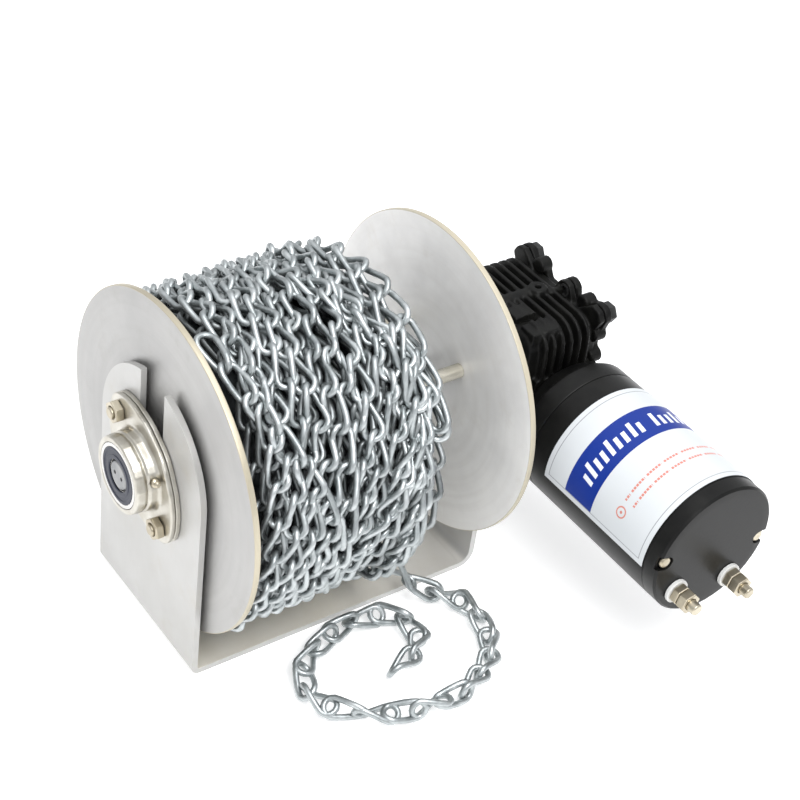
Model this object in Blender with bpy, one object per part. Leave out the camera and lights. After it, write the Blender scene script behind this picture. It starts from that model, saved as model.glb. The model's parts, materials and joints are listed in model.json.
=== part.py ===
"""Anchor windlass with a chain drum, a worm gearbox and an electric motor.

Run with: blender --background --python part.py

Frame: +X runs along the drum's axle from the outer bearing to the gearbox, -Y is the side that the
chain and the motor come out of, and +Z is up. The origin is on the underside of the bracket, in its
middle. Every length below is in millimetres, and MM turns it into Blender's metres.
"""

import math

import bmesh
import bpy
from mathutils import Matrix, Vector

MM = 0.001
GAP = 0.3  # clearance between pieces that touch

# Bracket: one plate, bent into a U.
BRACKET_LENGTH = 219.0
BRACKET_WIDTH = 122.0
PLATE = 4.0
LEFT_BEND = 2.0  # inner radii of the two bends
RIGHT_BEND = 8.0
ARCH_CENTRE = 130.0  # height at which an upright's round top begins
AXIS_HEIGHT = 126.5
SLOT_RADIUS = 14.0
SCREW_SPACING = 60.0  # the gearbox's four screws, a square round the axle

# Drum.
SHAFT_RADIUS = 10.0
SHAFT_START = -131.0
SHAFT_END = 199.0
DISC_RADIUS = 110.0
DISC_THICKNESS = 4.0
LEFT_DISC = -102.5  # outer face of the left disc
RIGHT_DISC = 96.0  # inner face of the right disc
ROD_RADIUS = 5.0
ROD_CIRCLE = 40.5  # from the axle to each of the three rods that the chain is wound on
ROD_TURN = 143.5

# Outer bearing, a sealed ball bearing of 20 x 42 mm in a two-bolt housing.
BEARING_RADIUS = 21.0
BALL_RADIUS = 3.0
BALL_CIRCLE = 15.5
BALLS = 9
EAR_DISTANCE = 37.0  # from the axle to each bolt of the housing
EAR_RADIUS = 11.0
NIPPLE_X = -120.1
FLANGE_RADIUS = 34.0

# Worm gear: one start, so each turn of the worm moves the wheel on by one tooth.
MODULE = 1.3
WHEEL_TEETH = 30
WHEEL_RADIUS = MODULE * WHEEL_TEETH / 2
WORM_RADIUS = 8.5
WORM_OFFSET = WHEEL_RADIUS + WORM_RADIUS
WORM_PITCH = math.pi * MODULE
WHEEL_WIDTH = 12.0
GEAR_X = 177.5  # middle of the worm wheel, and the motor's axis

# Gearbox.
BOX_CENTRE = 116.5
BOX_HALF_DEPTH = 42.0
BOX_HALF_HEIGHT = 45.5
BOX_START = 146.0
BOX_END = 203.0
FIN_HEIGHT = 5.5
FIN_THICKNESS = 2.6
FIN_SPACING = 7.1
FIRST_FIN = 155.5
FINS = 6
COVER_END = 209.0
RIM_START = 198.0
LOBES = ((39.0, 37.5), (-39.0, 37.5), (39.0, -53.5), (-39.0, -53.5))  # (y, height above the axle)
PLUG = (-8.0, 39.5)

# Motor, along -Y from the gearbox.
MOTOR_RADIUS = 47.8
MOTOR_Z = AXIS_HEIGHT - WORM_OFFSET
BELL_END = -76.0
CAN_END = -190.8
MOTOR_END = -203.0
TERMINAL_CIRCLE = 34.5
BOLT_CIRCLE = 41.5
MOTOR_TURN = -9.0  # degrees by which the motor is turned in its seat

# Chain.
PACK_START = -98.2
PACK_END = 40.0
PACK_BORE = 46.8
TAIL_RADIUS = 6.3


def cleared_scene():
    for obj in list(bpy.data.objects):
        bpy.data.objects.remove(obj, do_unlink=True)


def material(name, colour, roughness, metallic):
    made = bpy.data.materials.new(name)
    made.use_nodes = True
    shader = made.node_tree.nodes["Principled BSDF"]
    shader.inputs["Base Color"].default_value = (*colour, 1.0)
    shader.inputs["Roughness"].default_value = roughness
    shader.inputs["Metallic"].default_value = metallic
    made.diffuse_color = (*colour, 1.0)
    return made


def empty(name, place):
    made = bpy.data.objects.new(name, None)
    made.location = Vector(place) * MM
    bpy.context.scene.collection.objects.link(made)
    return made


def finished(bm, name, look, parent, smooth=True):
    """The bmesh, drawn in millimetres, as a closed object under its parent."""
    bmesh.ops.recalc_face_normals(bm, faces=bm.faces)
    bmesh.ops.scale(bm, vec=(MM, MM, MM), verts=bm.verts)
    mesh = bpy.data.meshes.new(name)
    bm.to_mesh(mesh)
    bm.free()
    obj = bpy.data.objects.new(name, mesh)
    bpy.context.scene.collection.objects.link(obj)
    obj.parent = parent
    if look is not None:
        mesh.materials.append(look)
    if smooth:
        mesh.shade_smooth()
        mesh.set_sharp_from_angle(angle=math.radians(35))
    return obj


def cutter(bm, name, parent):
    obj = finished(bm, name, None, parent, smooth=False)
    obj.hide_render = True
    obj.display_type = "WIRE"
    return obj


def combine(obj, other, operation):
    modifier = obj.modifiers.new(other.name, "BOOLEAN")
    modifier.operation = operation
    modifier.object = other
    modifier.solver = "EXACT"


def circle(radius, count, centre=(0.0, 0.0), start=0.0):
    """Points of a circle as (u, v)."""
    step = 2 * math.pi / count
    return [
        (centre[0] + radius * math.cos(start + i * step), centre[1] + radius * math.sin(start + i * step))
        for i in range(count)
    ]


def arc(centre, radius, first, last, count):
    """count + 1 points from one angle in degrees to another."""
    angles = [math.radians(first + (last - first) * i / count) for i in range(count + 1)]
    return [(centre[0] + radius * math.cos(a), centre[1] + radius * math.sin(a)) for a in angles]


def scaled(points, factor):
    return [(u * factor, v * factor) for u, v in points]


def join_rings(bm, ring, other):
    """Faces between two rings. A ring of one vertex is a point on the axis."""
    count = max(len(ring), len(other))
    for i in range(count):
        after = (i + 1) % count
        if len(ring) == 1:
            bm.faces.new((ring[0], other[i], other[after]))
        elif len(other) == 1:
            bm.faces.new((ring[i], other[0], ring[after]))
        else:
            bm.faces.new((ring[i], other[i], other[after], ring[after]))


def turned(bm, profile, segments, along="X", centre=(0.0, 0.0, 0.0), start=0.0):
    """A closed outline of (distance, radius) points, turned about a line along X, Y or Z."""
    turn = {"X": Matrix(), "Y": Matrix.Rotation(math.pi / 2, 4, "Z"), "Z": Matrix.Rotation(-math.pi / 2, 4, "Y")}
    place = Matrix.Translation(Vector(centre)) @ turn[along]
    rings = []
    for distance, radius in profile:
        points = circle(radius, segments, start=start) if radius > 0 else [(0.0, 0.0)]
        rings.append([bm.verts.new(place @ Vector((distance, u, v))) for u, v in points])
    for i, ring in enumerate(rings):
        other = rings[(i + 1) % len(rings)]
        if len(ring) > 1 or len(other) > 1:
            join_rings(bm, ring, other)
    return bm


def rod(bm, low, high, radius, segments, along="X", centre=(0.0, 0.0, 0.0), start=0.0):
    return turned(bm, [(low, 0), (high, 0), (high, radius), (low, radius)], segments, along, centre, start)


def placed(along, distance, u, v):
    return (distance, u, v) if along == "X" else (u, distance, v)


def shell(bm, rings, along="X", hollow=False):
    """Faces through a list of (distance, outline) rings with as many points as each other.

    An outline's points are (y, z) along X, and (x, z) along Y. The two ends are capped, or joined to
    each other in a hollow shell.
    """
    made = [[bm.verts.new(placed(along, distance, u, v)) for u, v in outline] for distance, outline in rings]
    for ring, other in zip(made, made[1:]):
        join_rings(bm, ring, other)
    if hollow:
        join_rings(bm, made[-1], made[0])
    else:
        bm.faces.new(made[0])
        bm.faces.new(made[-1])
    return bm


def plate(bm, outlines, low, high, along="X"):
    """A flat plate. The first outline is its edge, and the others are holes."""
    rims = {low: [], high: []}
    for outline in outlines:
        sides = [[bm.verts.new(placed(along, d, u, v)) for u, v in outline] for d in (low, high)]
        join_rings(bm, *sides)
        for distance, ring in zip((low, high), sides):
            rims[distance] += [bm.edges.get((ring[i - 1], ring[i])) for i in range(len(ring))]
    for rim in rims.values():
        bmesh.ops.triangle_fill(bm, edges=rim, use_beauty=True, normal=placed(along, 1, 0, 0))
    return bm


def star(centre, angles, reach):
    """An outline round a centre, at the distance that reach gives for each angle."""
    return [(centre[0] + reach(a) * math.cos(a), centre[1] + reach(a) * math.sin(a)) for a in angles]


def box_reach(half_u, half_v, offset_v, radius):
    """How far a rounded rectangle, whose middle is offset_v above the centre, reaches at an angle."""

    def inside(u, v):
        u = abs(u) - (half_u - radius)
        v = abs(v - offset_v) - (half_v - radius)
        return math.hypot(max(u, 0), max(v, 0)) + min(max(u, v), 0) <= radius

    def reach(angle):
        low, high = 0.0, 3 * max(half_u, half_v)
        for _ in range(40):
            middle = (low + high) / 2
            if inside(middle * math.cos(angle), middle * math.sin(angle)):
                low = middle
            else:
                high = middle
        return low

    return reach


def lobe_reach(centre, radius):
    """How far a round lobe reaches at an angle, or 0 where the ray misses it."""
    distance = math.hypot(*centre)
    bearing = math.atan2(centre[1], centre[0])

    def reach(angle):
        off = distance * math.sin(angle - bearing)
        if abs(off) > radius or math.cos(angle - bearing) < 0:
            return 0.0
        return distance * math.cos(angle - bearing) + math.sqrt(radius**2 - off**2)

    return reach


def nut(bm, low, high, across_flats, bore, along="X", centre=(0.0, 0.0), start=0.0):
    """A hexagonal nut with chamfered corners."""
    angles = [i * math.pi / 6 for i in range(12)]
    reach = hex_reach(across_flats / math.sqrt(3))
    outer = [at(math.degrees(a + start), reach(a)) for a in angles]
    inner = [at(math.degrees(a + start), bore) for a in angles]
    rings = [(low, inner), (low, scaled(outer, 0.93)), (low + 0.6, outer)]
    rings += [(high - 0.6, outer), (high, scaled(outer, 0.93)), (high, inner)]
    rings = [(distance, [(u + centre[0], v + centre[1]) for u, v in outline]) for distance, outline in rings]
    return shell(bm, rings, along, hollow=True)


def hex_bolt(bm, head_low, head_high, across_flats, tip, radius):
    """A bolt along X whose shank leaves the low side of its head."""
    shank = circle(radius, 12)
    head = star((0, 0), [i * math.pi / 6 for i in range(12)], hex_reach(across_flats / math.sqrt(3)))
    rings = [(tip, scaled(shank, 0.8)), (tip + 0.8, shank), (head_low, shank)]
    rings += [(head_low, head), (head_high - 0.7, head), (head_high, scaled(head, 0.9))]
    return shell(bm, rings)


def hex_reach(corner):
    """A hexagon's distance from its centre at an angle, with a corner at 0."""

    def reach(angle):
        within = angle % (math.pi / 3) - math.pi / 6
        return corner * math.cos(math.pi / 6) / math.cos(within)

    return reach


def band(circles, count):
    """The outline of a tight band round some circles, given as ((u, v), radius)."""
    outline = []
    for turn in circle(1, count):
        (u, v), radius = max(circles, key=lambda one: Vector(one[0]).dot(turn) + one[1])
        outline.append((u + radius * turn[0], v + radius * turn[1]))
    return outline


def polar_circle(outline, radius):
    """A circle round the origin, with a point at the angle of each point of an outline."""
    return [(radius * u / math.hypot(u, v), radius * v / math.hypot(u, v)) for u, v in outline]


def at(angle, distance):
    """A point at an angle in degrees."""
    return (distance * math.cos(math.radians(angle)), distance * math.sin(math.radians(angle)))


def box(bm, low, high):
    """A box between two corners."""
    outline = [(low[1], low[2]), (high[1], low[2]), (high[1], high[2]), (low[1], high[2])]
    return shell(bm, [(low[0], outline), (high[0], outline)])


# ---------------------------------------------------------------------------------------------------
# Bracket


def make_bracket(look):
    half_length = BRACKET_LENGTH / 2
    half_width = BRACKET_WIDTH / 2
    inside = half_length - PLATE
    top = ARCH_CENTRE + half_width + 10
    outer = arc((-inside + LEFT_BEND, PLATE + LEFT_BEND), PLATE + LEFT_BEND, 180, 270, 6)
    outer += arc((inside - RIGHT_BEND, PLATE + RIGHT_BEND), PLATE + RIGHT_BEND, 270, 360, 8)
    inner = arc((inside - RIGHT_BEND, PLATE + RIGHT_BEND), RIGHT_BEND, 360, 270, 8)
    inner += arc((-inside + LEFT_BEND, PLATE + LEFT_BEND), LEFT_BEND, 270, 180, 6)
    strip = [(-half_length, top), *outer, (half_length, top), (inside, top), *inner, (-inside, top)]
    wide = half_width + 8
    obj = finished(shell(bmesh.new(), [(-wide, strip), (wide, strip)], "Y"), "bracket", look, None)

    arch = [(-half_width, -5), *arc((0, ARCH_CENTRE), half_width, 180, 0, 32), (half_width, -5)]
    combine(obj, cutter(plate(bmesh.new(), [arch], -130, 130), "bracket_width", None), "INTERSECT")

    bm = bmesh.new()
    slot = [(-SLOT_RADIUS, 220), *arc((0, AXIS_HEIGHT), SLOT_RADIUS, 180, 360, 14), (SLOT_RADIUS, 220)]
    plate(bm, [slot], -120, -95)
    for angle in (45, 225):
        y, z = at(angle, EAR_DISTANCE)
        sunk = [(-104, 0), (-104, 8.2), (-105.6, 8.2), (-109.4, 4.4), (-130, 4.4), (-130, 0)]
        turned(bm, sunk, 14, centre=(0, y, AXIS_HEIGHT + z))
    rod(bm, 100, 120, 17, 28, centre=(0, 0, AXIS_HEIGHT))
    for y, z in square(SCREW_SPACING):
        sunk = [(104, 0), (104, 6.6), (105.6, 6.6), (108.9, 3.3), (120, 3.3), (120, 0)]
        turned(bm, sunk, 12, centre=(0, y, AXIS_HEIGHT + z))
    for x in (-70, 70):
        for y in (-30, 30):
            rod(bm, -5, 10, 4.25, 14, "Z", (x, y, 0))
    combine(obj, cutter(bm, "bracket_openings", None), "DIFFERENCE")


def square(spacing):
    half = spacing / 2
    return [(half, half), (-half, half), (-half, -half), (half, -half)]


# ---------------------------------------------------------------------------------------------------
# Outer bearing. These pieces and the drum are drawn round the axle, at the empty on it.


def make_bearing_unit(axle, drum, looks):
    circles = []
    for distance in (0, 9, 18, 26, 32, EAR_DISTANCE):
        radius = FLANGE_RADIUS - (FLANGE_RADIUS - EAR_RADIUS) * (distance / EAR_DISTANCE) ** 1.6
        circles += [(at(45, distance), radius), (at(225, distance), radius)]
    outline = band(circles, 34)
    bolts = [at(45, EAR_DISTANCE), at(225, EAR_DISTANCE)]
    holes = [circle(4.4, 14, bolt) for bolt in bolts]
    backing = [outline, circle(11.5, 24), *holes]
    finished(plate(bmesh.new(), backing, -112.8, -109.8), "housing_back_plate", looks["casting"], axle)

    boss = [(-116.3, 27.5), (-117.6, 26.0), (-122.6, 25.6), (-123.2, 24.3), (-124.4, 24.3), (-125.0, 25.4)]
    boss += [(-130.9, 24.8), (-131.5, 24.2)]
    rings = [(-113.1, outline), (-116.3, outline)]
    rings += [(x, polar_circle(outline, radius)) for x, radius in boss]
    housing = finished(shell(bmesh.new(), rings), "bearing_housing", looks["casting"], axle)
    bm = bmesh.new()
    pocket = [(-140, 0), (-140, BEARING_RADIUS + 0.3), (-118.7, BEARING_RADIUS + 0.3), (-118.7, 17)]
    turned(bm, pocket + [(-100, 17), (-100, 0)], 36)
    for y, z in bolts:
        rod(bm, -130, -100, 4.4, 14, centre=(0, y, z))
    combine(housing, cutter(bm, "housing_bore", axle), "DIFFERENCE")
    side_hole = cutter(rod(bmesh.new(), -40, -22.4, 2.3, 16, "Y", (NIPPLE_X, 0, 0)), "nipple_hole", axle)
    side_hole.rotation_euler.x = math.radians(-20)
    combine(housing, side_hole, "DIFFERENCE")

    nipple = [(-22.7, 0), (-22.7, 2), (-26.4, 2), (-26.4, 2.8), (-28.2, 2.8), (-28.8, 1.6), (-29.6, 1.6)]
    nipple += [(-30.4, 2.2), (-31.6, 1.2), (-31.6, 0)]
    fitting = finished(turned(bmesh.new(), nipple, 12, "Y", (NIPPLE_X, 0, 0)), "grease_nipple", looks["zinc"], axle)
    fitting.rotation_euler.x = math.radians(-20)

    for name, (y, z) in zip(("upper", "lower"), bolts):
        stud = [(-105.8, 0), (-105.8, 7.5), (-109.3, 4.0), (-123.0, 4.0), (-123.8, 3.2), (-123.8, 0)]
        finished(turned(bmesh.new(), stud, 16, centre=(0, y, z)), f"housing_stud_{name}", looks["zinc"], axle)
        made = nut(bmesh.new(), -122.1, -116.6, 13, 4.45, centre=(y, z), start=0.3)
        finished(made, f"housing_nut_{name}", looks["zinc"], axle, smooth=False)

    middle = -124.6
    race = BALL_RADIUS + 0.3
    outer = groove(middle, BALL_CIRCLE, race, 18.0, 1)
    outer = [(-130.2, 18.0), *outer, (-119.0, 18.0), (-119.0, BEARING_RADIUS), (-131.2, BEARING_RADIUS)]
    outer += [(-131.2, 18.7), (-130.2, 18.7)]
    finished(turned(bmesh.new(), outer, 32), "bearing_outer_ring", looks["steel"], axle)
    inner = groove(middle, BALL_CIRCLE, race, 13.0, -1)
    inner = [(-130.2, 13.0), *inner, (-119.0, 13.0), (-119.0, SHAFT_RADIUS + GAP), (-130.2, SHAFT_RADIUS + GAP)]
    finished(turned(bmesh.new(), inner, 30), "bearing_inner_ring", looks["steel"], drum)

    cage = [(middle - 0.9, 14.4), (middle + 0.9, 14.4), (middle + 0.9, 16.6), (middle - 0.9, 16.6)]
    cage = finished(turned(bmesh.new(), cage, 36), "ball_cage", looks["steel"], drum)
    bm = bmesh.new()
    for i in range(BALLS):
        y, z = at(360 * i / BALLS, BALL_CIRCLE)
        place = Matrix.Translation((middle, y, z))
        bmesh.ops.create_uvsphere(bm, u_segments=10, v_segments=6, radius=BALL_RADIUS, matrix=place)
    combine(cage, cutter(bm, "balls", drum), "UNION")

    seal = [(-131.4, 10.5), (-130.5, 10.5), (-130.5, 18.4), (-131.4, 18.4)]
    finished(turned(bmesh.new(), seal, 36), "bearing_seal", looks["rubber"], axle)


def groove(middle, centre, radius, edge, side):
    """The ball groove in a ring whose plain surface is at edge. It is cut outwards for side 1."""
    half = math.acos(abs(edge - centre) / radius)
    angles = [half * (i / 2 - 1) for i in range(5)]
    return [(middle + radius * math.sin(a), centre + side * radius * math.cos(a)) for a in angles]


# ---------------------------------------------------------------------------------------------------
# Drum


def make_drum(drum, looks):
    shaft = [(SHAFT_START, 0), (SHAFT_START, 8.7), (SHAFT_START + 1.3, SHAFT_RADIUS)]
    shaft += [(SHAFT_END - 1, SHAFT_RADIUS), (SHAFT_END, SHAFT_RADIUS - 1), (SHAFT_END, 0)]
    obj = finished(turned(bmesh.new(), shaft, 32), "drum_shaft", looks["steel"], drum)
    bm = bmesh.new()
    box(bm, (168.0, -3.3, 6.5), (187.0, 3.3, 12.6))
    for y in (-4, 4):
        rod(bm, SHAFT_START - 2, SHAFT_START + 4, 1.2, 12, centre=(0, y, 0))
    combine(obj, cutter(bm, "shaft_openings", drum), "DIFFERENCE")
    key = box(bmesh.new(), (168.4, -3.0, 6.8), (186.6, 3.0, 12.2))
    finished(key, "shaft_key", looks["steel"], drum, smooth=False)

    for name, x in (("left", LEFT_DISC), ("right", RIGHT_DISC)):
        far = x + DISC_THICKNESS
        bore = SHAFT_RADIUS + GAP
        rim = [(x, bore), (x, DISC_RADIUS - 0.5), (x + 0.5, DISC_RADIUS)]
        rim += [(far - 0.5, DISC_RADIUS), (far, DISC_RADIUS - 0.5), (far, bore)]
        finished(turned(bmesh.new(), rim, 72), f"drum_disc_{name}", looks["disc"], drum)

    pack = [(PACK_START, 97), (-92, 103), (-84, 107), (-70, 109), (-50, 108), (-30, 109.4), (-10, 108.6)]
    pack += [(10, 109.2), (24, 107), (34, 103), (PACK_END, 95), (PACK_END, PACK_BORE), (PACK_START, PACK_BORE)]
    finished(turned(bmesh.new(), pack, 44), "wound_chain", looks["chain"], drum)

    start, end = LEFT_DISC + DISC_THICKNESS + GAP, RIGHT_DISC - GAP
    for i in range(3):
        made = rod(bmesh.new(), start, end, ROD_RADIUS, 12, centre=(0, *at(ROD_TURN + 120 * i, ROD_CIRCLE)))
        finished(made, f"drum_rod_{i + 1}", looks["steel"], drum)


# ---------------------------------------------------------------------------------------------------
# Worm gear


def wheel_outline(turn):
    """One tooth is four points: its root and tip on one side, then on the other."""
    pitch = 2 * math.pi / WHEEL_TEETH
    root = WHEEL_RADIUS - 1.15 * MODULE
    tip = WHEEL_RADIUS + 0.8 * MODULE
    points = []
    for i in range(WHEEL_TEETH):
        middle = -math.pi / 2 + (i + 0.5) * pitch + turn
        for part, radius in ((-0.29, root), (-0.11, tip), (0.11, tip), (0.29, root)):
            angle = middle + part * pitch
            points.append((radius * math.cos(angle), radius * math.sin(angle)))
    return points


def make_worm_wheel(drum, look):
    half = WHEEL_WIDTH / 2
    lean = half * WORM_PITCH / (2 * math.pi * WORM_RADIUS) / WHEEL_RADIUS
    rings = []
    for x, turn in ((-half, -lean), (0, 0), (half, lean)):
        rings.append((GEAR_X + x, wheel_outline(turn)))
    wheel = finished(shell(bmesh.new(), rings), "worm_wheel", look, drum, smooth=False)
    hub = cutter(rod(bmesh.new(), 165, 190, 14, 28), "wheel_hub", drum)
    combine(wheel, hub, "UNION")
    bore = cutter(rod(bmesh.new(), 160, 195, SHAFT_RADIUS + GAP, 28), "wheel_bore", drum)
    combine(wheel, bore, "DIFFERENCE")
    keyway = cutter(box(bmesh.new(), (160, -3.3, 5), (195, 3.3, 12.6)), "wheel_keyway", drum)
    combine(wheel, keyway, "DIFFERENCE")


def worm_thread(bm):
    """The worm's root cylinder with one right-hand thread, as a helical grid round the Y axis.

    Each row of the grid is one line along the helix. A row leaves the last column as the row one
    pitch further on, so the rows of the whole thread are a single strip.
    """
    columns = 16
    root = WORM_RADIUS - 1.15 * MODULE
    tip = WORM_RADIUS + 0.8 * MODULE
    section = [(-0.5, root), (-0.29, root), (-0.11, tip), (0.11, tip), (0.29, root)]
    per_turn = len(section)
    rows = []
    for turn in range(-4, 4):
        for part, radius in section:
            threaded = -3 <= turn <= 2
            rows.append(((turn + part) * WORM_PITCH, radius if threaded else root))
    grid = []
    for along, radius in rows:
        line = []
        for i in range(columns):
            angle = 2 * math.pi * i / columns
            y = along + WORM_PITCH * i / columns
            line.append(bm.verts.new((radius * math.sin(angle), y, radius * math.cos(angle))))
        grid.append(line)
    for j in range(len(rows) - 1):
        for i in range(columns):
            if i + 1 < columns:
                after = (grid[j][i + 1], grid[j + 1][i + 1])
            elif j + per_turn + 1 < len(rows):
                after = (grid[j + per_turn][0], grid[j + per_turn + 1][0])
            else:
                continue
            bm.faces.new((grid[j][i], after[0], after[1], grid[j + 1][i]))
    first = grid[0] + [grid[j][0] for j in range(per_turn, 0, -1)]
    last = grid[-1] + [grid[-1 - j][-1] for j in range(1, per_turn + 1)]
    for rim, y in ((first, rows[0][0] - 3), (last, rows[-1][0] + WORM_PITCH + 3)):
        middle = bm.verts.new((0, y, 0))
        for i, vertex in enumerate(rim):
            bm.faces.new((rim[i - 1], vertex, middle))
    return bm


def make_rotor(rotor, looks):
    shaft = [(34.5, 0), (34.5, 5.5), (34, 6), (-176.8, 6), (-176.8, 5), (-196, 5), (-196, 0)]
    worm = finished(turned(bmesh.new(), shaft, 28, "Y"), "worm_shaft", looks["steel"], rotor)
    combine(worm, cutter(worm_thread(bmesh.new()), "thread", rotor), "UNION")

    slots = 12
    outline = []
    for i in range(slots):
        middle = 360 * i / slots
        outline += [at(middle + a, r) for a, r in ((-12.5, 30), (-12.5, 36), (12.5, 36), (12.5, 30))]
    core = shell(bmesh.new(), [(-168, outline), (-92, outline)], "Y")
    armature = finished(core, "armature", looks["laminations"], rotor)
    winding = [(-176, 0), (-176, 22), (-172, 31), (-88, 31), (-84, 22), (-84, 0)]
    combine(armature, cutter(turned(bmesh.new(), winding, 24, "Y"), "windings", rotor), "UNION")
    bore = cutter(rod(bmesh.new(), -200, -70, 6.3, 28, "Y"), "armature_bore", rotor)
    combine(armature, bore, "DIFFERENCE")

    segments = [(-188, 5.3), (-188, 13.6), (-187, 14.6), (-177.5, 14.6), (-177.5, 5.3)]
    finished(turned(bmesh.new(), segments, 30, "Y"), "commutator", looks["copper"], rotor)


# ---------------------------------------------------------------------------------------------------
# Gearbox, drawn round the drum's axle


def lobed(reach, lobes, angles):
    reaches = [reach] + [lobe_reach(centre, radius) for centre, radius in lobes]
    return star((0, 0), angles, lambda angle: max(one(angle) for one in reaches))


def make_gearbox(axle, looks):
    angles = [2 * math.pi * (i + 0.5) / 60 for i in range(60)]
    offset = BOX_CENTRE - AXIS_HEIGHT
    foot = star((0, 0), angles, box_reach(40, 40, 0, 8))
    neck = circle(29, 60, start=angles[0])
    core = star((0, 0), angles, box_reach(BOX_HALF_DEPTH, BOX_HALF_HEIGHT, offset, 12))
    tall = (BOX_HALF_DEPTH + FIN_HEIGHT, BOX_HALF_HEIGHT + FIN_HEIGHT)
    finned = star((0, 0), angles, box_reach(*tall, offset, 15))
    corners = [(centre, 8.5) for centre in LOBES]
    corners.append((PLUG, 7.7))
    rim = lobed(box_reach(BOX_HALF_DEPTH, BOX_HALF_HEIGHT, offset, 12), corners, angles)

    rings = [(109.8, foot), (120, foot), (120, neck), (138, neck), (BOX_START, core)]
    for i in range(FINS):
        x = FIRST_FIN + i * FIN_SPACING
        low, high = x - FIN_THICKNESS / 2, x + FIN_THICKNESS / 2
        rings += [(low - 0.5, core), (low, finned), (high, finned), (high + 0.5, core)]
    rings += [(RIM_START, core), (RIM_START, rim), (BOX_END, rim)]
    housing = finished(shell(bmesh.new(), rings), "gearbox_housing", looks["black"], axle)

    bm = bmesh.new()
    rod(bm, 20, 43.5, 6.6, 24, "Z", (181.6, -0.6, 0), start=0.1)
    combine(housing, cutter(bm, "ring_boss", axle), "UNION")
    pad = [(151, -60), (202.7, -60), (202.7, 5), (151, 5)]
    block = shell(bmesh.new(), [(-47.5, pad), (-30, pad)], "Y")
    combine(housing, cutter(block, "motor_pad", axle), "UNION")

    bm = bmesh.new()
    bore = [(100, 16.3), (116.3, 16.3), (116.3, 11.5), (140, 11.5), (140, 14.3), (156.5, 14.3), (156.5, 24)]
    turned(bm, [(100, 0), *bore, (215, 24), (215, 0)], 32)
    combine(housing, cutter(bm, "wheel_chamber", axle), "DIFFERENCE")
    tunnel = rod(bmesh.new(), -60, 36, 13, 28, "Y", (GEAR_X, 0, -WORM_OFFSET))
    combine(housing, cutter(tunnel, "worm_chamber", axle), "DIFFERENCE")
    bm = bmesh.new()
    for y, z in square(SCREW_SPACING):
        rod(bm, 105, 118.8, 3.3, 16, centre=(0, y, z))
    for y, z in LOBES:
        rod(bm, 199.4, 215, 4.3, 16, centre=(0, y, z))
    rod(bm, 197, 202.4, 5.3, 20, centre=(0, *PLUG))
    rod(bm, 33, 60, 2.2, 16, "Z", (181.6, -0.6, 0))
    combine(housing, cutter(bm, "gearbox_holes", axle), "DIFFERENCE")

    angles = [2 * math.pi * (i + 0.5) / 108 for i in range(108)]
    ribs = [(y, z) for y in (22, -26) for z in (40.5, -60.5)]
    ribs += [(y, z) for y in (40, -40) for z in (24, 6, -25, -43)]
    lobes = corners + [(centre, 4.6) for centre in ribs]
    edge = lobed(box_reach(39.5, 43.5, offset, 8), lobes, angles)
    inner, dome = circle(18, 108, start=angles[0]), circle(23, 108, start=angles[0])
    rings = [(191, inner), (203.3, inner), (203.3, edge), (COVER_END, edge)]
    rings += [(COVER_END, dome), (212, scaled(dome, 0.93)), (212.5, scaled(dome, 0.86))]
    cover = finished(shell(bmesh.new(), rings), "gearbox_cover", looks["black"], axle)
    bm = rod(bmesh.new(), 180, 202.3, 14.3, 28)
    for y, z in LOBES:
        rod(bm, 200, 215, 4.3, 16, centre=(0, y, z))
    combine(cover, cutter(bm, "cover_holes", axle), "DIFFERENCE")

    for i, (y, z) in enumerate(LOBES):
        bolt = hex_bolt(bmesh.new(), 209.3, 214.6, 13, 199.8, 4)
        obj = finished(bolt, f"cover_bolt_{i + 1}", looks["dark_steel"], axle)
        obj.location = Vector((0, y, z)) * MM
    for i, (y, z) in enumerate(square(SCREW_SPACING)):
        screw = [(105.8, 0), (105.8, 5.9), (108.7, 3), (117.6, 3), (118.2, 2.4), (118.2, 0)]
        made = turned(bmesh.new(), screw, 16, centre=(0, y, z))
        finished(made, f"gearbox_screw_{i + 1}", looks["steel"], axle)

    plug = rod(bmesh.new(), 198.4, 202.1, 5, 20, centre=(0, *PLUG))
    plug = finished(plug, "oil_plug", looks["dark_steel"], axle)
    socket = rod(bmesh.new(), 190, 200.8, 6 / math.sqrt(3), 6, centre=(0, *PLUG))
    combine(plug, cutter(socket, "plug_socket", axle), "DIFFERENCE")

    seal = [(110.1, 10.3), (116, 10.3), (116, 16), (110.1, 16)]
    finished(turned(bmesh.new(), seal, 28), "output_seal", looks["rubber"], axle)
    for name, low, high in (("left", 141, 155), ("right", 192, 202)):
        bush = [(low, 10.3), (high, 10.3), (high, 14), (low, 14)]
        finished(turned(bmesh.new(), bush, 28), f"output_bush_{name}", looks["bronze"], axle)
    for name, low, high in (("front", -44, -32), ("rear", 22, 34)):
        race = [(low, 6.3), (high, 6.3), (high, 12.7), (low, 12.7)]
        centre = (GEAR_X, 0, -WORM_OFFSET)
        bearing = turned(bmesh.new(), race, 28, "Y", centre)
        finished(bearing, f"worm_bearing_{name}", looks["steel"], axle)


# ---------------------------------------------------------------------------------------------------
# Motor, drawn round its own axis


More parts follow.
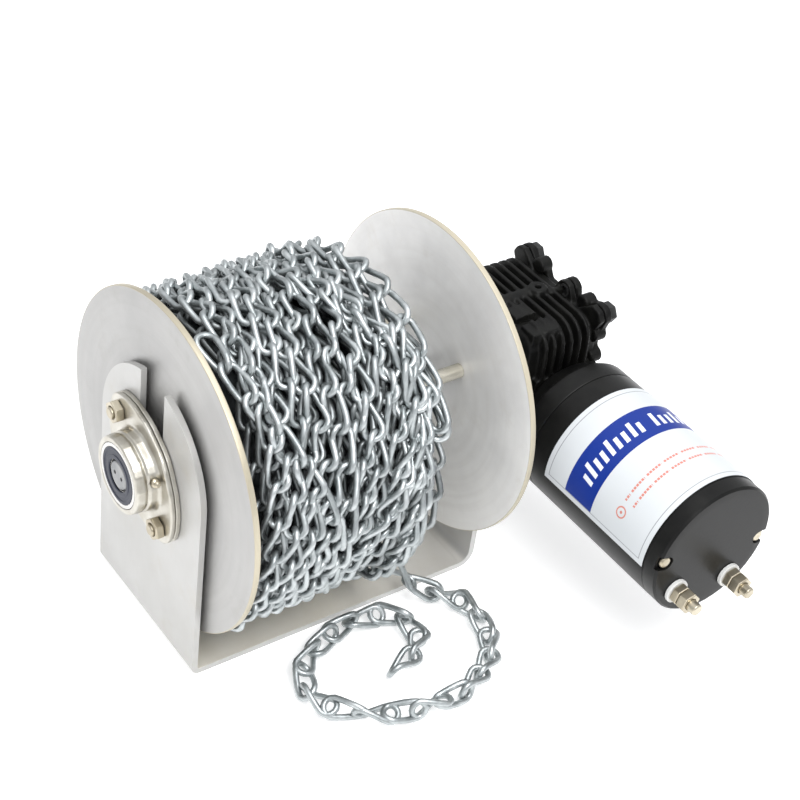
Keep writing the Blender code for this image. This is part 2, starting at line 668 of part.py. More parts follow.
def make_motor(motor, looks):
    bolts = [at(MOTOR_TURN, BOLT_CIRCLE), at(MOTOR_TURN + 180, BOLT_CIRCLE)]
    terminals = [at(MOTOR_TURN - 90 + side * 43.5, TERMINAL_CIRCLE) for side in (-1, 1)]

    bell = [(-48.1, 6.6), (-48.1, 37), (-50, 40.5), (-60, 46.5), (-62, MOTOR_RADIUS), (BELL_END, MOTOR_RADIUS)]
    bell += [(BELL_END, 37.5), (-57, 33), (-53.5, 12), (-53.5, 6.6)]
    bell = finished(turned(bmesh.new(), bell, 48, "Y"), "motor_front_bell", looks["black"], motor)
    bm = bmesh.new()
    for x, z in bolts:
        rod(bm, -90, -63.5, 2.35, 14, "Y", (x, 0, z))
    combine(bell, cutter(bm, "bell_holes", motor), "DIFFERENCE")

    can = [(BELL_END - GAP, 44.8), (BELL_END - GAP, MOTOR_RADIUS), (CAN_END, MOTOR_RADIUS), (CAN_END, 44.8)]
    finished(turned(bmesh.new(), can, 56, "Y"), "motor_can", looks["gloss_black"], motor)

    cap = [(MOTOR_END, 0), (MOTOR_END, 40), (MOTOR_END + 0.4, 46.4), (MOTOR_END + 2, MOTOR_RADIUS)]
    cap += [(CAN_END - GAP, MOTOR_RADIUS), (CAN_END - GAP, 44.5), (-197.5, 44.5), (-197.5, 9), (-190, 9)]
    cap += [(-190, 5.4), (-196.5, 5.4), (-196.5, 0)]
    cap = finished(turned(bmesh.new(), cap, 48, "Y"), "motor_end_cap", looks["black"], motor)
    bm = bmesh.new()
    for x, z in bolts:
        plate(bm, [band([((x, z), 5), ((x * 1.2, z * 1.2), 5)], 16)], -210, -199.5, "Y")
    for x, z in terminals:
        rod(bm, -210, -180, 5.7, 16, "Y", (x, 0, z))
    combine(cap, cutter(bm, "cap_openings", motor), "DIFFERENCE")
    bm = bmesh.new()
    for x, z in bolts:
        rod(bm, -210, -180, 2.35, 14, "Y", (x, 0, z))
    combine(cap, cutter(bm, "cap_bolt_holes", motor), "DIFFERENCE")

    for i, (x, z) in enumerate(bolts):
        shape = [(-201.8, 0), (-202.4, 2), (-202.2, 3.4), (-201.2, 4.3), (-199.8, 4.3), (-199.8, 2)]
        shape += [(-64.5, 2), (-64, 1.5), (-64, 0)]
        made = turned(bmesh.new(), shape, 16, "Y", (x, 0, z))
        finished(made, f"through_bolt_{i + 1}", looks["zinc"], motor)

    for name, (x, z) in zip(("left", "right"), terminals):
        place = (x, 0, z)
        stud = [(-191.6, 0), (-191.6, 6.5), (-194.5, 6.5), (-194.5, 4), (-224.2, 4), (-225, 3.2), (-225, 0)]
        finished(turned(bmesh.new(), stud, 16, "Y", place), f"terminal_stud_{name}", looks["zinc"], motor)
        bush = [(-197.9, 4.3), (-197.9, 5.4), (-203.3, 5.4), (-203.3, 8.4), (-206, 8.4), (-206, 4.3)]
        made = turned(bmesh.new(), bush, 18, "Y", place)
        finished(made, f"terminal_insulator_{name}", looks["white"], motor)
        for which, low, high in (("inner", -211.8, -206.3), ("outer", -218.6, -212.1)):
            made = nut(bmesh.new(), low, high, 13, 4.45, "Y", (x, z), start=0.2)
            finished(made, f"terminal_nut_{which}_{name}", looks["zinc"], motor, smooth=False)

    for name, middle in (("upper", 90), ("lower", -90)):
        first, last = MOTOR_TURN + middle - 66, MOTOR_TURN + middle + 66
        outline = arc((0, 0), 44.4, first, last, 18) + arc((0, 0), 38.5, last, first, 18)
        made = shell(bmesh.new(), [(-172, outline), (-90, outline)], "Y")
        finished(made, f"magnet_{name}", looks["ferrite"], motor)

    outlines = [circle(44.2, 40), circle(17, 24), *[circle(2.6, 10, bolt) for bolt in bolts]]
    holder = plate(bmesh.new(), outlines, -190.2, -187.9, "Y")
    finished(holder, "brush_plate", looks["fibre"], motor)
    for name, angle in (("upper", MOTOR_TURN + 90), ("lower", MOTOR_TURN - 90)):
        brush = box(bmesh.new(), (14.9, -187.6, -4), (27, -179, 4))
        obj = finished(brush, f"brush_{name}", looks["carbon"], motor, smooth=False)
        obj.rotation_euler.y = math.radians(-angle)

    outline = arc((0, 0), 48.1, -4, 184, 46) + arc((0, 0), 48.4, 184, -4, 46)
    made = shell(bmesh.new(), [(-190, outline), (-93, outline)], "Y")
    finished(made, "motor_label", looks["label"], motor)


# ---------------------------------------------------------------------------------------------------
# The chain's free end, which lies in front of the bracket

TAIL_ROUTE = (
    (38.5, -62.5, 29.0),
    (46.0, -66.5, 20.0),
    (54.5, -72.5, 12.0),
    (65.5, -81.0, 7.6),
    (75.5, -93.5, 6.4),
    (78.0, -113.5, 6.4),
    (69.5, -135.0, 6.4),
    (52.5, -151.0, 6.4),
    (31.0, -159.5, 6.4),
    (9.5, -161.5, 6.4),
    (-11.0, -157.0, 6.4),
    (-33.0, -147.0, 6.4),
    (-50.5, -131.5, 6.4),
    (-56.0, -112.0, 6.4),
    (-49.0, -96.0, 6.4),
    (-34.0, -84.5, 6.4),
    (-16.0, -77.0, 6.4),
    (3.0, -74.5, 6.4),
    (20.0, -78.0, 6.4),
    (32.0, -88.0, 6.4),
    (34.0, -101.5, 6.4),
    (27.0, -113.0, 6.4),
    (14.0, -121.0, 6.4),
    (-3.0, -125.0, 6.4),
)
TAIL_STEP = 25.0  # spacing of the tube's points


def smooth(points, steps):
    """Points of a Catmull-Rom curve through the given ones."""
    padded = [points[0], *points, points[-1]]
    found = []
    for a, b, c, d in zip(padded, padded[1:], padded[2:], padded[3:]):
        a, b, c, d = (Vector(point) for point in (a, b, c, d))
        for i in range(steps):
            t = i / steps
            found.append(0.5 * (2 * b + (c - a) * t + (2 * a - 5 * b + 4 * c - d) * t**2
                                + (3 * b - a - 3 * c + d) * t**3))
    return [*found, Vector(points[-1])]


def evenly(points, spacing):
    """About as many points as the spacing gives, at equal distances along a dense line."""
    length = sum((b - a).length for a, b in zip(points, points[1:]))
    count = round(length / spacing)
    found = [points[0]]
    walked = 0.0
    for a, b in zip(points, points[1:]):
        walked += (b - a).length
        if walked >= len(found) * length / count and len(found) < count:
            found.append(b)
    return [*found, points[-1]]


def make_tail(look):
    curve = bpy.data.curves.new("chain_tail", "CURVE")
    curve.dimensions = "3D"
    curve.bevel_depth = TAIL_RADIUS * MM
    curve.bevel_resolution = 2
    curve.use_fill_caps = True
    points = evenly(smooth(TAIL_ROUTE, 24), TAIL_STEP)
    spline = curve.splines.new("POLY")
    spline.points.add(len(points) - 1)
    for spot, point in zip(spline.points, points):
        spot.co = (*(point * MM), 1.0)
    curve.materials.append(look)
    bpy.context.scene.collection.objects.link(bpy.data.objects.new("chain_tail", curve))


# ---------------------------------------------------------------------------------------------------


def main():
    cleared_scene()
    looks = {
        "plate": material("plate_steel", (0.62, 0.62, 0.60), 0.35, 1.0),
        "disc": material("disc_aluminium", (0.76, 0.76, 0.75), 0.3, 1.0),
        "casting": material("housing_steel", (0.58, 0.57, 0.54), 0.35, 1.0),
        "steel": material("machined_steel", (0.6, 0.6, 0.6), 0.3, 1.0),
        "zinc": material("zinc_plated_steel", (0.66, 0.63, 0.55), 0.35, 1.0),
        "chain": material("galvanised_chain", (0.62, 0.65, 0.67), 0.3, 1.0),
        "rubber": material("seal_rubber", (0.02, 0.025, 0.05), 0.6, 0.0),
        "bronze": material("bearing_bronze", (0.6, 0.42, 0.2), 0.4, 1.0),
        "black": material("black_casting", (0.02, 0.02, 0.02), 0.5, 0.0),
        "gloss_black": material("can_paint", (0.015, 0.015, 0.015), 0.25, 0.0),
        "dark_steel": material("dark_fasteners", (0.06, 0.06, 0.06), 0.4, 1.0),
        "laminations": material("rotor_iron", (0.3, 0.25, 0.2), 0.5, 1.0),
        "copper": material("commutator_copper", (0.72, 0.4, 0.25), 0.35, 1.0),
        "ferrite": material("magnet_ferrite", (0.08, 0.08, 0.08), 0.7, 0.0),
        "fibre": material("brush_plate_fibre", (0.35, 0.22, 0.12), 0.7, 0.0),
        "carbon": material("brush_carbon", (0.05, 0.05, 0.05), 0.7, 0.0),
        "white": material("insulator_plastic", (0.8, 0.8, 0.78), 0.5, 0.0),
        "label": material("label_film", (0.9, 0.9, 0.9), 0.4, 0.0),
    }
    axle = empty("axle", (0, 0, AXIS_HEIGHT))
    drum = empty("drum_axis", (0, 0, AXIS_HEIGHT))
    motor = empty("motor_axis", (GEAR_X, 0, MOTOR_Z))
    rotor = empty("rotor_axis", (GEAR_X, 0, MOTOR_Z))
    make_bracket(looks["plate"])
    make_bearing_unit(axle, drum, looks)
    make_drum(drum, looks)
    make_worm_wheel(drum, looks["bronze"])
    make_rotor(rotor, looks)
    make_gearbox(axle, looks)
    make_motor(motor, looks)
    make_tail(looks["chain"])


main()
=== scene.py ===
"""The anchor windlass as it looks: links of chain, machined and rolled metal, black paint and a label.

Lengths are in millimetres unless a comment says metres. MM turns them into the frame's metres.
"""

import json
import math
import random

import bmesh
import bpy
import numpy as np
from mathutils import Matrix, Vector

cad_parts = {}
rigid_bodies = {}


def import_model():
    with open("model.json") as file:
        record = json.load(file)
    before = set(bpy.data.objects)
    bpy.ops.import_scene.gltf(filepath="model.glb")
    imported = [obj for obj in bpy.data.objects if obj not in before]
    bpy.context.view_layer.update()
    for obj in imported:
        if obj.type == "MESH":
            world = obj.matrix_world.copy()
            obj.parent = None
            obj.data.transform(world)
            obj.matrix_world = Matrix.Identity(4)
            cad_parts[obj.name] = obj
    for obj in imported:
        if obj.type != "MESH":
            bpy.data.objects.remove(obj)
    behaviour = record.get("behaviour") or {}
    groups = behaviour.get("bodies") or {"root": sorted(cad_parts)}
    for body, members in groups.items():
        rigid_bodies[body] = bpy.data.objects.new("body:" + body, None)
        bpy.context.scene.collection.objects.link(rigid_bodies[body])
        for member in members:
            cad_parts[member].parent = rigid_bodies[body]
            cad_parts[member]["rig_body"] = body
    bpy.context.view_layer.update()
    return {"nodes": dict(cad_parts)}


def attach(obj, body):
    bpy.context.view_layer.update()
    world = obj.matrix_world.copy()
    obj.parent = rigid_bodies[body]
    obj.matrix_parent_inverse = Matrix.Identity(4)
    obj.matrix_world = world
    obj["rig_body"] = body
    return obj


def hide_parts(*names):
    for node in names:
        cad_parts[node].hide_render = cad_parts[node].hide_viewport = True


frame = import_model()
MM = 0.001
rng = random.Random(7)

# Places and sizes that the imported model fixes.
AXIS_Z = 126.5  # the drum's axle above the base's underside
MOTOR_X = 177.5
MOTOR_Z = 98.5
CAN_RADIUS = 48.0  # to the label's face
DISC_RADIUS = 110.0
DISC_THICKNESS = 4.0
SHAFT_RADIUS = 10.0

SHARP = math.radians(32)  # an edge that turns by more than this isn't shaded as smooth


def linked(name, data):
    """A new object in the scene."""
    made = bpy.data.objects.new(name, data)
    bpy.context.scene.collection.objects.link(made)
    return made


# ---------------------------------------------------------------------------------------------------
# Camera


CAMERA_PLACE = (-0.53691, -0.74039, 0.85547)  # in metres
CAMERA_ANGLES = (-39.98, 37.83, 8.23)  # azimuth, elevation and roll, in degrees
CAMERA_LENS = 83.14  # on a sensor 36 mm wide
CAMERA_SHIFT = (-0.00944, 0.00325)


def make_camera():
    azimuth, elevation, roll = (math.radians(a) for a in CAMERA_ANGLES)
    back = Vector((
        math.sin(azimuth) * math.cos(elevation),
        -math.cos(azimuth) * math.cos(elevation),
        math.sin(elevation),
    ))
    level = Vector((0, 0, 1)).cross(back).normalized()
    up = back.cross(level)
    right = math.cos(roll) * level + math.sin(roll) * up
    top = math.cos(roll) * up - math.sin(roll) * level
    data = bpy.data.cameras.new("camera")
    data.sensor_width = 36.0
    data.lens = CAMERA_LENS
    data.shift_x, data.shift_y = CAMERA_SHIFT
    data.clip_end = 20.0
    camera = linked("camera", data)
    turn = Matrix((right, top, back)).transposed().to_4x4()
    camera.matrix_world = Matrix.Translation(CAMERA_PLACE) @ turn
    bpy.context.scene.camera = camera


# ---------------------------------------------------------------------------------------------------
# Materials


class Nodes:
    """A material's node tree, with a short way to add a node and wire it up."""

    def __init__(self, name):
        self.material = bpy.data.materials.new(name)
        self.material.use_nodes = True
        self.tree = self.material.node_tree
        self.shader = self.tree.nodes["Principled BSDF"]
        self.coords = self.add("ShaderNodeTexCoord").outputs["Object"]

    def add(self, kind, settings=(), **inputs):
        node = self.tree.nodes.new(kind)
        for key, value in dict(settings).items():
            setattr(node, key, value)
        for key, value in inputs.items():
            self.wire(node.inputs[key], value)
        return node

    def wire(self, socket, value):
        if isinstance(value, bpy.types.NodeSocket):
            self.tree.links.new(value, socket)
        else:
            socket.default_value = value

    def math(self, operation, *values):
        node = self.add("ShaderNodeMath", {"operation": operation})
        for socket, value in zip(node.inputs, values):
            self.wire(socket, value)
        return node.outputs[0]

    def axes(self, vector=None):
        """The X, Y and Z of a vector."""
        node = self.add("ShaderNodeSeparateXYZ", Vector=vector or self.coords)
        return tuple(node.outputs)

    def stretch(self, scale):
        return self.add("ShaderNodeMapping", Scale=scale, Vector=self.coords).outputs[0]

    def noise(self, scale, detail=3.0, roughness=0.5, vector=None):
        vector = vector or self.coords
        node = self.add("ShaderNodeTexNoise", Scale=scale, Detail=detail, Roughness=roughness, Vector=vector)
        return node.outputs["Fac"]

    def ramp(self, factor, stops):
        node = self.add("ShaderNodeValToRGB")
        elements = node.color_ramp.elements
        while len(elements) < len(stops):
            elements.new(0.5)
        for element, (place, colour) in zip(elements, stops):
            element.position = place
            element.color = (*colour, 1.0)
        self.wire(node.inputs["Fac"], factor)
        return node.outputs["Color"]

    def level(self, factor, low, high, start=0.0, end=1.0):
        """A number that goes from low to high as factor goes from start to end."""
        node = self.add("ShaderNodeMapRange")
        keys = ("Value", "From Min", "From Max", "To Min", "To Max")
        for key, value in zip(keys, (factor, start, end, low, high)):
            self.wire(node.inputs[key], value)
        return node.outputs[0]

    def mix(self, factor, a, b):
        node = self.add("ShaderNodeMix", {"data_type": "RGBA"})
        self.wire(node.inputs[0], factor)
        self.wire(node.inputs[6], (*a, 1.0) if isinstance(a, tuple) else a)
        self.wire(node.inputs[7], (*b, 1.0) if isinstance(b, tuple) else b)
        return node.outputs[2]

    def bump(self, height, strength, distance):
        return self.add("ShaderNodeBump", Strength=strength, Distance=distance, Height=height).outputs[0]

    def finish(self, **sockets):
        """The material, once these inputs of its shader are set or wired."""
        for key, value in sockets.items():
            socket = self.shader.inputs[key.replace("_", " ")]
            if isinstance(value, tuple) and len(value) == 3 and socket.type == "RGBA":
                value = (*value, 1.0)
            self.wire(socket, value)
        return self.material


PAINTED_LIGHT_FROM, PAINTED_LIGHT_TO = 4.5, 13.5  # heights between which the cream painted light on the base's top fades out


def rolled_plate():
    """Rolled stainless plate: faint grain along the sheet, blotches, and cream painted light on the base."""
    n = Nodes("rolled_plate")
    grain = n.noise(1.0, 4.0, 0.6, n.stretch((30, 900, 30)))
    cloud = n.noise(11.0, 4.0, 0.55)
    fine = n.noise(2200.0, 2.0, 0.5)
    stain = n.noise(38.0, 5.0, 0.65)
    tones = [(0.3, (0.49, 0.485, 0.465)), (0.55, (0.57, 0.565, 0.55)), (0.75, (0.64, 0.64, 0.63))]
    colour = n.mix(n.level(stain, 0.0, 0.35, 0.55, 0.75), n.ramp(cloud, tones), (0.48, 0.45, 0.39))
    x, _, z = n.axes()
    _, _, upward = n.axes(n.add("ShaderNodeTexCoord").outputs["Normal"])
    # Painted light: a cream pool on the base's top, fading with height and towards +X under the right disc.
    painted_light_mask = n.level(z, 1.0, 0.0, PAINTED_LIGHT_FROM * MM, PAINTED_LIGHT_TO * MM)
    painted_light_mask = n.math("MULTIPLY", painted_light_mask, n.level(upward, 0.0, 1.0, 0.4, 0.9))
    painted_light_mask = n.math("MULTIPLY", painted_light_mask, n.level(x, 1.0, 0.3, 0.0, 0.07))
    cream = n.mix(n.noise(26.0, 4.0, 0.6), (0.80, 0.74, 0.62), (0.96, 0.93, 0.86))
    colour = n.mix(painted_light_mask, colour, cream)
    rough = n.math("ADD", n.level(cloud, 0.30, 0.42), n.level(grain, -0.05, 0.06))
    height = n.math("ADD", n.math("MULTIPLY", grain, 0.5), n.math("MULTIPLY", fine, 0.5))
    metal = n.math("SUBTRACT", 0.4, n.math("MULTIPLY", painted_light_mask, 0.3))
    return n.finish(Base_Color=colour, Metallic=metal, Roughness=rough, Normal=n.bump(height, 0.12, 0.0002))


def turned_disc(name, shade, metallic):
    """A disc faced in a lathe: fine rings round the axle, and a straw-coloured edge."""

    # shade scales every colour as painted light and shade, making one steel lighter or darker per disc.
    def painted_light_tint(colour):
        return tuple(shade * c for c in colour)

    n = Nodes(name)
    _, y, height = n.axes()
    z = n.math("SUBTRACT", height, AXIS_Z * MM)
    radius = n.math("SQRT", n.math("ADD", n.math("MULTIPLY", y, y), n.math("MULTIPLY", z, z)))
    around = n.math("ARCTAN2", y, z)
    place = n.add("ShaderNodeCombineXYZ")
    n.wire(place.inputs[0], radius)
    n.wire(place.inputs[1], n.math("MULTIPLY", around, 0.004))
    rings = n.noise(2600.0, 3.0, 0.6, place.outputs[0])
    wide = n.noise(160.0, 3.0, 0.5, place.outputs[0])
    cloud = n.noise(16.0, 4.0, 0.6)
    smear = n.noise(45.0, 5.0, 0.65)
    tones = [(0.3, (0.88, 0.87, 0.855)), (0.5, (1.0, 0.99, 0.97)), (0.72, (1.11, 1.10, 1.07))]
    colour = n.ramp(cloud, [(at, painted_light_tint(tone)) for at, tone in tones])
    colour = n.mix(n.level(wide, 0.0, 0.35, 0.4, 0.7), colour, painted_light_tint((0.85, 0.83, 0.80)))
    colour = n.mix(n.level(smear, 0.0, 0.3, 0.58, 0.75), colour, painted_light_tint((0.75, 0.71, 0.65)))
    edge = n.level(radius, 0.0, 1.0, (DISC_RADIUS - 0.9) * MM, (DISC_RADIUS - 0.3) * MM)
    colour = n.mix(edge, colour, (0.50, 0.455, 0.35))
    rough = n.math("ADD", n.level(cloud, 0.34, 0.46), n.level(wide, -0.03, 0.03))
    return n.finish(Base_Color=colour, Metallic=metallic, Roughness=rough, Normal=n.bump(rings, 0.12, 0.0002))


def zinc_chain(name, shade):
    """Bright zinc plating that has dulled in blotches; shade scales its colour as painted light and shade."""
    n = Nodes(name)
    cloud = n.noise(75.0, 4.0, 0.6)
    grain = n.noise(800.0, 3.0, 0.6)
    tones = [(0.28, (0.26, 0.285, 0.29)), (0.5, (0.43, 0.46, 0.465)), (0.72, (0.62, 0.65, 0.655))]
    colour = n.ramp(cloud, [(place, tuple(shade * c for c in tone)) for place, tone in tones])
    rough = n.level(cloud, 0.30, 0.46)
    return n.finish(Base_Color=colour, Metallic=0.9, Roughness=rough, Normal=n.bump(grain, 0.25, 0.0003))


def dark_core():
    """Painted shade: a near-black material for the shadowed heart of the heap of chain."""
    n = Nodes("shadowed_chain")
    cloud = n.noise(120.0, 3.0, 0.6)
    colour = n.ramp(cloud, [(0.35, (0.02, 0.023, 0.025)), (0.65, (0.10, 0.11, 0.115))])
    return n.finish(Base_Color=colour, Metallic=0.6, Roughness=0.55)


def machined(name, low, high, rough_low, rough_high):
    """Bare metal off a machine tool, with a fine grain and faint clouds."""
    n = Nodes(name)
    cloud = n.noise(60.0, 4.0, 0.55)
    grain = n.noise(1500.0, 3.0, 0.6)
    colour = n.mix(n.level(cloud, 0.0, 1.0, 0.35, 0.65), low, high)
    return n.finish(
        Base_Color=colour, Metallic=0.9, Roughness=n.level(cloud, rough_low, rough_high),
        Normal=n.bump(grain, 0.08, 0.0002),
    )


def black_paint(name, low, high, rough_low, rough_high, specular, grain_scale, bump):
    """Black paint, with the grain of the metal under it."""
    n = Nodes(name)
    cloud = n.noise(60.0, 4.0, 0.6)
    grain = n.noise(grain_scale, 3.0, 0.6)
    colour = n.mix(n.level(cloud, 0.0, 1.0, 0.35, 0.65), low, high)
    return n.finish(
        Base_Color=colour, Roughness=n.level(cloud, rough_low, rough_high),
        Normal=n.bump(grain, bump, 0.0004), Specular_IOR_Level=specular,
    )


def plastic(name, low, high, roughness):
    """Moulded plastic, rubber or pressed board."""
    n = Nodes(name)
    cloud = n.noise(150.0, 3.0, 0.6)
    return n.finish(
        Base_Color=n.mix(cloud, low, high), Roughness=n.level(cloud, roughness - 0.05, roughness + 0.05),
        Normal=n.bump(n.noise(1200.0), 0.08, 0.0002),
    )


# The label's layout. ALONG is measured from the drum's axis towards the motor's end cap, and AROUND from
# the motor's top towards +X. A pair gives where a mark starts and ends.
LABEL_ALONG = (93.0, 190.0)
LABEL_HALF = 78.7  # from the label's middle round to its edge
FRAME_INSET = 3.5
FRAME_LINE = 0.6
BAND = (113.5, 139.0)
BAR_ALONG = (120.2, 132.5)
BAR_MIDDLE = 126.0
SHORT_BAR_START = 123.5  # two bars in three are shorter
BAR_STEP = 6.1
BAR_WIDTH = 3.1
BAR_LEAN = 0.15
BAR_GROUPS = ((-58.4, -3.5), (2.6, 61.0))  # AROUND, where they cross BAR_MIDDLE
DASH_ROWS = ((158.6, 160.3), (166.0, 167.7))
DASH_AROUND = (-50.0, 56.0)
DASH_STEP, DASH_WIDTH = 2.3, 1.7
WORD_STEP, WORD_WIDTH = 13.7, 12.2
RING_PLACE = (-58.0, 161.0)  # AROUND and ALONG
RING_RADII = (3.0, 4.0)
DOT_RADIUS = 1.0
FOLD = 400.0  # added to AROUND, so that a remainder is never taken of a negative number


def label_film():
    """White film with a thin grey frame line, a blue band with plain bars, and rows of red dashes."""
    n = Nodes("label_film")
    x, y, z = n.axes()
    along = n.math("MULTIPLY", y, -1000.0)
    dx = n.math("SUBTRACT", x, MOTOR_X * MM)
    dz = n.math("SUBTRACT", z, MOTOR_Z * MM)
    around = n.math("MULTIPLY", n.math("ARCTAN2", dx, dz), CAN_RADIUS)

    def between(value, low, high):
        return n.math("MULTIPLY", n.math("GREATER_THAN", value, low), n.math("LESS_THAN", value, high))

    def joined(operation, masks):
        made = masks[0]
        for mask in masks[1:]:
            made = n.math(operation, made, mask)
        return made

    def both(*masks):
        return joined("MULTIPLY", masks)

    def either(*masks):
        return joined("MAXIMUM", masks)

    def stripes(value, step, width):
        return n.math("LESS_THAN", n.math("MODULO", value, step), width)

    def framed(inset):
        half = LABEL_HALF - inset
        return both(
            between(along, LABEL_ALONG[0] + inset, LABEL_ALONG[1] - inset), between(around, -half, half)
        )

    line = n.math("SUBTRACT", framed(FRAME_INSET), framed(FRAME_INSET + FRAME_LINE))
    edge = LABEL_HALF - FRAME_INSET - FRAME_LINE
    band = both(between(along, *BAND), between(around, -edge, edge))

    steps = n.math("ADD", around, FOLD)
    lean = n.math("MULTIPLY", n.math("SUBTRACT", along, BAR_MIDDLE), BAR_LEAN)
    leaning = n.math("ADD", steps, lean)
    tall = stripes(leaning, 3 * BAR_STEP, BAR_STEP)
    height = both(between(along, *BAR_ALONG), either(tall, n.math("GREATER_THAN", along, SHORT_BAR_START)))
    spans = either(*(between(leaning, low + FOLD, high + FOLD) for low, high in BAR_GROUPS))
    bars = both(stripes(leaning, BAR_STEP, BAR_WIDTH), height, spans)

    words, letters = stripes(steps, WORD_STEP, WORD_WIDTH), stripes(steps, DASH_STEP, DASH_WIDTH)
    rows = either(*(between(along, *row) for row in DASH_ROWS))
    dashes = both(words, letters, rows, between(around, *DASH_AROUND))
    ring_x = n.math("SUBTRACT", around, RING_PLACE[0])
    ring_y = n.math("SUBTRACT", along, RING_PLACE[1])
    squares = n.math("ADD", n.math("MULTIPLY", ring_x, ring_x), n.math("MULTIPLY", ring_y, ring_y))
    radius = n.math("SQRT", squares)
    ring = either(between(radius, *RING_RADII), n.math("LESS_THAN", radius, DOT_RADIUS))

    cloud = n.noise(20.0, 3.0, 0.5)
    paper = n.mix(cloud, (0.57, 0.60, 0.62), (0.65, 0.67, 0.685))
    colour = n.mix(line, paper, (0.30, 0.31, 0.33))
    colour = n.mix(band, colour, (0.004, 0.028, 0.24))
    colour = n.mix(both(band, bars), colour, (0.74, 0.77, 0.82))
    colour = n.mix(either(dashes, ring), colour, (0.60, 0.22, 0.17))
    return n.finish(
        Base_Color=colour, Roughness=n.level(cloud, 0.34, 0.42),
        Normal=n.bump(n.noise(160.0), 0.05, 0.0002), Specular_IOR_Level=0.3,
    )


# ---------------------------------------------------------------------------------------------------
# Finer meshes of the model's own pieces


def copied(name):
    """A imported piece's mesh with its faces joined at their edges."""
    bm = bmesh.new()
    bm.from_mesh(frame["nodes"][name].data)
    bmesh.ops.remove_doubles(bm, verts=bm.verts, dist=0.01 * MM)
    return bm


def stand_in(name, bm, material):
    """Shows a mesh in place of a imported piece."""
    bmesh.ops.recalc_face_normals(bm, faces=bm.faces)
    mesh = bpy.data.meshes.new(f"{name}_finish")
    bm.to_mesh(mesh)
    bm.free()
    if "custom_normal" in mesh.attributes:
        mesh.attributes.remove(mesh.attributes["custom_normal"])
    mesh.shade_smooth()
    mesh.set_sharp_from_angle(angle=SHARP)
    mesh.materials.clear()
    mesh.materials.append(material)
    mesh.polygons.foreach_set("material_index", [0] * len(mesh.polygons))
    piece = linked(f"{name}_finish", mesh)
    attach(piece, frame["nodes"][name]["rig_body"])
    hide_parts(name)
    return piece


def bevelled(material, width, *names):
    """The piece with every sharp edge rounded off."""
    for name in names:
        bm = copied(name)
        bmesh.ops.dissolve_limit(bm, angle_limit=math.radians(0.4), verts=bm.verts, edges=bm.edges)
        piece = stand_in(name, bm, material)
        bevel = piece.modifiers.new("edges", "BEVEL")
        bevel.width = width * MM
        bevel.segments = 2
        bevel.limit_method = "ANGLE"
        bevel.angle_limit = SHARP
        piece.modifiers.new("shading", "WEIGHTED_NORMAL")


def add_box(bm, low, high):
    made = bmesh.ops.create_cube(bm, size=1.0)["verts"]
    bmesh.ops.scale(bm, verts=made, vec=[(b - a) * MM for a, b in zip(low, high)])
    bmesh.ops.translate(bm, verts=made, vec=[(a + b) / 2 * MM for a, b in zip(low, high)])


def cast(material, name, voxel, rounds, blocks=(), rods=(), notch=None):
    """The piece as a casting: every corner and joint filleted, with blocks and rods along X grown on it.

    notch is a box cut out of it before the corners are filleted.
    """
    bm = copied(name)
    for block in blocks:
        add_box(bm, *block)
    for (start, end), (y, z), radius in rods:
        middle = Matrix.Translation(Vector(((start + end) / 2, y, z)) * MM)
        bmesh.ops.create_cone(
            bm, cap_ends=True, segments=28, radius1=radius * MM, radius2=radius * MM,
            depth=(end - start) * MM, matrix=middle @ Matrix.Rotation(math.pi / 2, 4, "Y"),
        )
    piece = stand_in(name, bm, material)
    remesh = piece.modifiers.new("cast", "REMESH")
    remesh.mode = "VOXEL"
    remesh.voxel_size = voxel * MM
    remesh.use_smooth_shade = True
    if notch:
        bm = bmesh.new()
        add_box(bm, *notch)
        mesh = bpy.data.meshes.new(name + "_notch")
        bm.to_mesh(mesh)
        bm.free()
        cutter = linked(name + "_notch", mesh)
        cutter.hide_render = True
        cut = piece.modifiers.new("notch", "BOOLEAN")
        cut.operation = "DIFFERENCE"
        cut.solver = "EXACT"
        cut.object = cutter
    smooth = piece.modifiers.new("fillets", "SMOOTH")
    smooth.factor = 0.5
    smooth.iterations = rounds


def rounded(profile, radius):
    """A closed profile with each corner cut to a small arc."""
    points = [Vector(point) for point in profile]
    found = []
    for before, point, after in zip([points[-1], *points], points, [*points[1:], points[0]]):
        first, second = before - point, after - point
        reach = min(radius, first.length * 0.45, second.length * 0.45)
        a, b = point + first.normalized() * reach, point + second.normalized() * reach
        for t in (0.0, 0.2, 0.5, 0.8, 1.0):
            found.append((1 - t) ** 2 * a + 2 * t * (1 - t) * point + t * t * b)
    return found


def lathed(material, name, profile, radius, along, centre, segments=160):
    """A turned piece, with rounded edges, from its (distance along the axis, radius) profile."""
    bm = bmesh.new()
    rings = []
    for k in range(segments):
        angle = 2 * math.pi * k / segments
        ring = []
        for distance, reach in rounded(profile, radius):
            u, v = reach * math.cos(angle), reach * math.sin(angle)
            place = (distance, u, v) if along == "X" else (u, distance, v)
            ring.append(bm.verts.new((Vector(place) + Vector(centre)) * MM))
        rings.append(ring)
    for ring, other in zip(rings, rings[1:] + rings[:1]):
        for i in range(len(ring)):
            j = (i + 1) % len(ring)
            bm.faces.new((ring[i], ring[j], other[j], other[i]))
    return stand_in(name, bm, material)


# ---------------------------------------------------------------------------------------------------
# Chain

WIRE = 2.05  # radius of the wire
PITCH = 23.2
SLACK_PITCH = 18.4  # where the chain lies loose
LINK_HALF = 13.8  # from a link's middle to the middle of its end
LINK_WIDTH = 6.0  # half the width, to the middle of the wire
LINK_WAIST = 0.10  # how much narrower a link is in its middle
TWIST = math.radians(86)  # from one end of a link to the other
AROUND = 8  # steps round a link's end
SIDES = 8  # sides of the wire
HEAP_START = -93.0  # the heap's first and last X
HEAP_END = 33.0
HEAP_LEAN = 16.0  # how far the heap's upper part stands off the left disc
HEAP_GAP = -12.0  # the sagging turns hang in two bunches, with this X between them
COIL_STEPS = 90  # points in a turn of the heap


